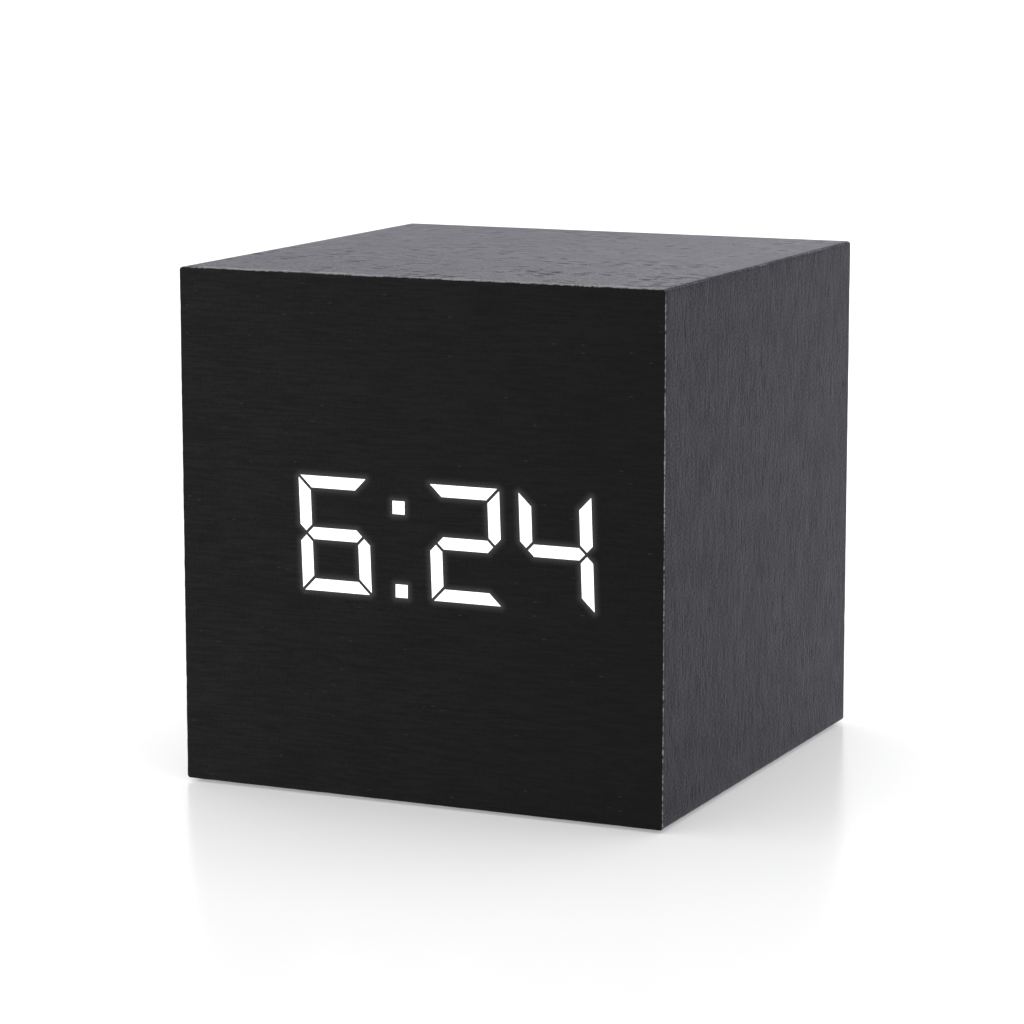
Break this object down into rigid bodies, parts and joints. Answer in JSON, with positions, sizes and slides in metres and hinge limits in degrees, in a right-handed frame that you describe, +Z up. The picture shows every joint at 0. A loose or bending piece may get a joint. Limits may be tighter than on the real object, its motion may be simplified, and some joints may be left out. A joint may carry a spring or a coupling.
{
  "type": "digital alarm clock",
  "caption": "Cube desk alarm clock in dark wood veneer, with digits that shine through the front, and a recessed rear cover with push buttons, a power jack and a battery bay.",
  "frame": {"origin": "on the table, under the centre of the cube, level with the undersides of the feet", "axes": "+Z up; the readout faces -Y; +X is the reader's right; the rear cover faces +Y"},
  "size_m": [0.068, 0.068, 0.0684],
  "materials": {
    "veneer": "open-pored stained veneer, matt lacquer",
    "ring_board": "raw medium-density fibreboard",
    "front_board": "raw medium-density fibreboard",
    "block_wood": "planed softwood",
    "foot_rubber": "moulded, self-adhesive",
    "mask_film": "printed film",
    "reflector_white": "moulded",
    "lit_resin": "cloudy resin, lit from behind",
    "resin": "cloudy resin, unlit",
    "led": "moulded",
    "board_green": "solder mask over glass laminate",
    "spacer_nylon": "turned",
    "steel_screw": "zinc plated",
    "black_screw": "black phosphate",
    "chip_black": "moulded epoxy",
    "tin": "bright tin plate",
    "capacitor_sleeve": "shrunk sleeve",
    "header_nylon": "moulded",
    "ribbon_pvc": "moulded ribbon",
    "cover_black": "fine spark-eroded texture",
    "key_black": "moulded, satin",
    "switch_black": "moulded",
    "plunger_red": "moulded",
    "jack_black": "moulded",
    "contact_brass": "plated",
    "soft_rubber": "moulded",
    "sounder_black": "moulded",
    "foam_tape": "double-sided foam",
    "foam": "closed-cell foam",
    "lead_red": "insulated wire",
    "lead_black": "insulated wire",
    "lead_brown": "insulated wire",
    "cell_sleeve": "printed sleeve",
    "contact_steel": "nickel plated"
  },
  "bodies": {
    "case": {"top_board": "ring_board", "bottom_board": "ring_board", "left_board": "ring_board", "right_board": "ring_board", "ring_veneer": "veneer", "front_board": "front_board", "front_veneer": "veneer", "corner_blocks": "block_wood", "feet": "foot_rubber", "display_mask": "mask_film", "display_reflector": "reflector_white", "hour_segments": "lit_resin", "colon_dots": "lit_resin", "minute_tens_segments": "lit_resin", "minute_ones_segments": "lit_resin", "unlit_segments": "resin", "display_leds": "led", "display_pcb": "board_green", "display_spacers": "spacer_nylon", "display_screws": "steel_screw", "controller_chip": "chip_black", "clock_crystal": "tin", "led_resistors": "chip_black", "smoothing_capacitor": "capacitor_sleeve", "display_header": "header_nylon", "ribbon_cable": "ribbon_pvc", "control_header": "header_nylon", "back_cover": "cover_black", "cover_screws": "black_screw", "control_pcb": "board_green", "control_pcb_screws": "steel_screw", "switch_cases": "switch_black", "dc_jack_case": "jack_black", "dc_jack_centre_pin": "contact_brass", "dc_jack_spring": "contact_brass", "microphone": "tin", "microphone_boot": "soft_rubber", "sounder": "sounder_black", "sounder_tape": "foam_tape", "sounder_leads": "lead_brown", "cell_1": "cell_sleeve", "cell_2": "cell_sleeve", "cell_3": "cell_sleeve", "positive_terminal": "contact_steel", "negative_terminal": "contact_steel", "bridge_contact_left": "contact_steel", "bridge_contact_right": "contact_steel", "battery_lead_red": "lead_red", "battery_lead_black": "lead_black"},
    "set_key": {"set_button": "key_black", "set_plunger": "plunger_red"},
    "up_key": {"up_button": "key_black", "up_plunger": "plunger_red"},
    "down_key": {"down_button": "key_black", "down_plunger": "plunger_red"},
    "door": {"battery_door": "cover_black", "door_foam_pad": "foam", "door_latch": "cover_black"}
  },
  "joints": [
    {"name": "set_press", "type": "slide", "parent": "case", "child": "set_key", "axis": [0, -1, 0], "range_m": [0, 0.0004], "stiffness_N_per_m": 4000},
    {"name": "up_press", "type": "slide", "parent": "case", "child": "up_key", "axis": [0, -1, 0], "range_m": [0, 0.0004], "stiffness_N_per_m": 4000},
    {"name": "down_press", "type": "slide", "parent": "case", "child": "down_key", "axis": [0, -1, 0], "range_m": [0, 0.0004], "stiffness_N_per_m": 4000},
    {"name": "door_tilt", "type": "hinge", "parent": "case", "child": "door", "pos_m": [0, 0.033, 0.0172], "axis": [-1, 0, 0], "range_deg": [0, 80], "deforming": ["door_latch"]}
  ]
}
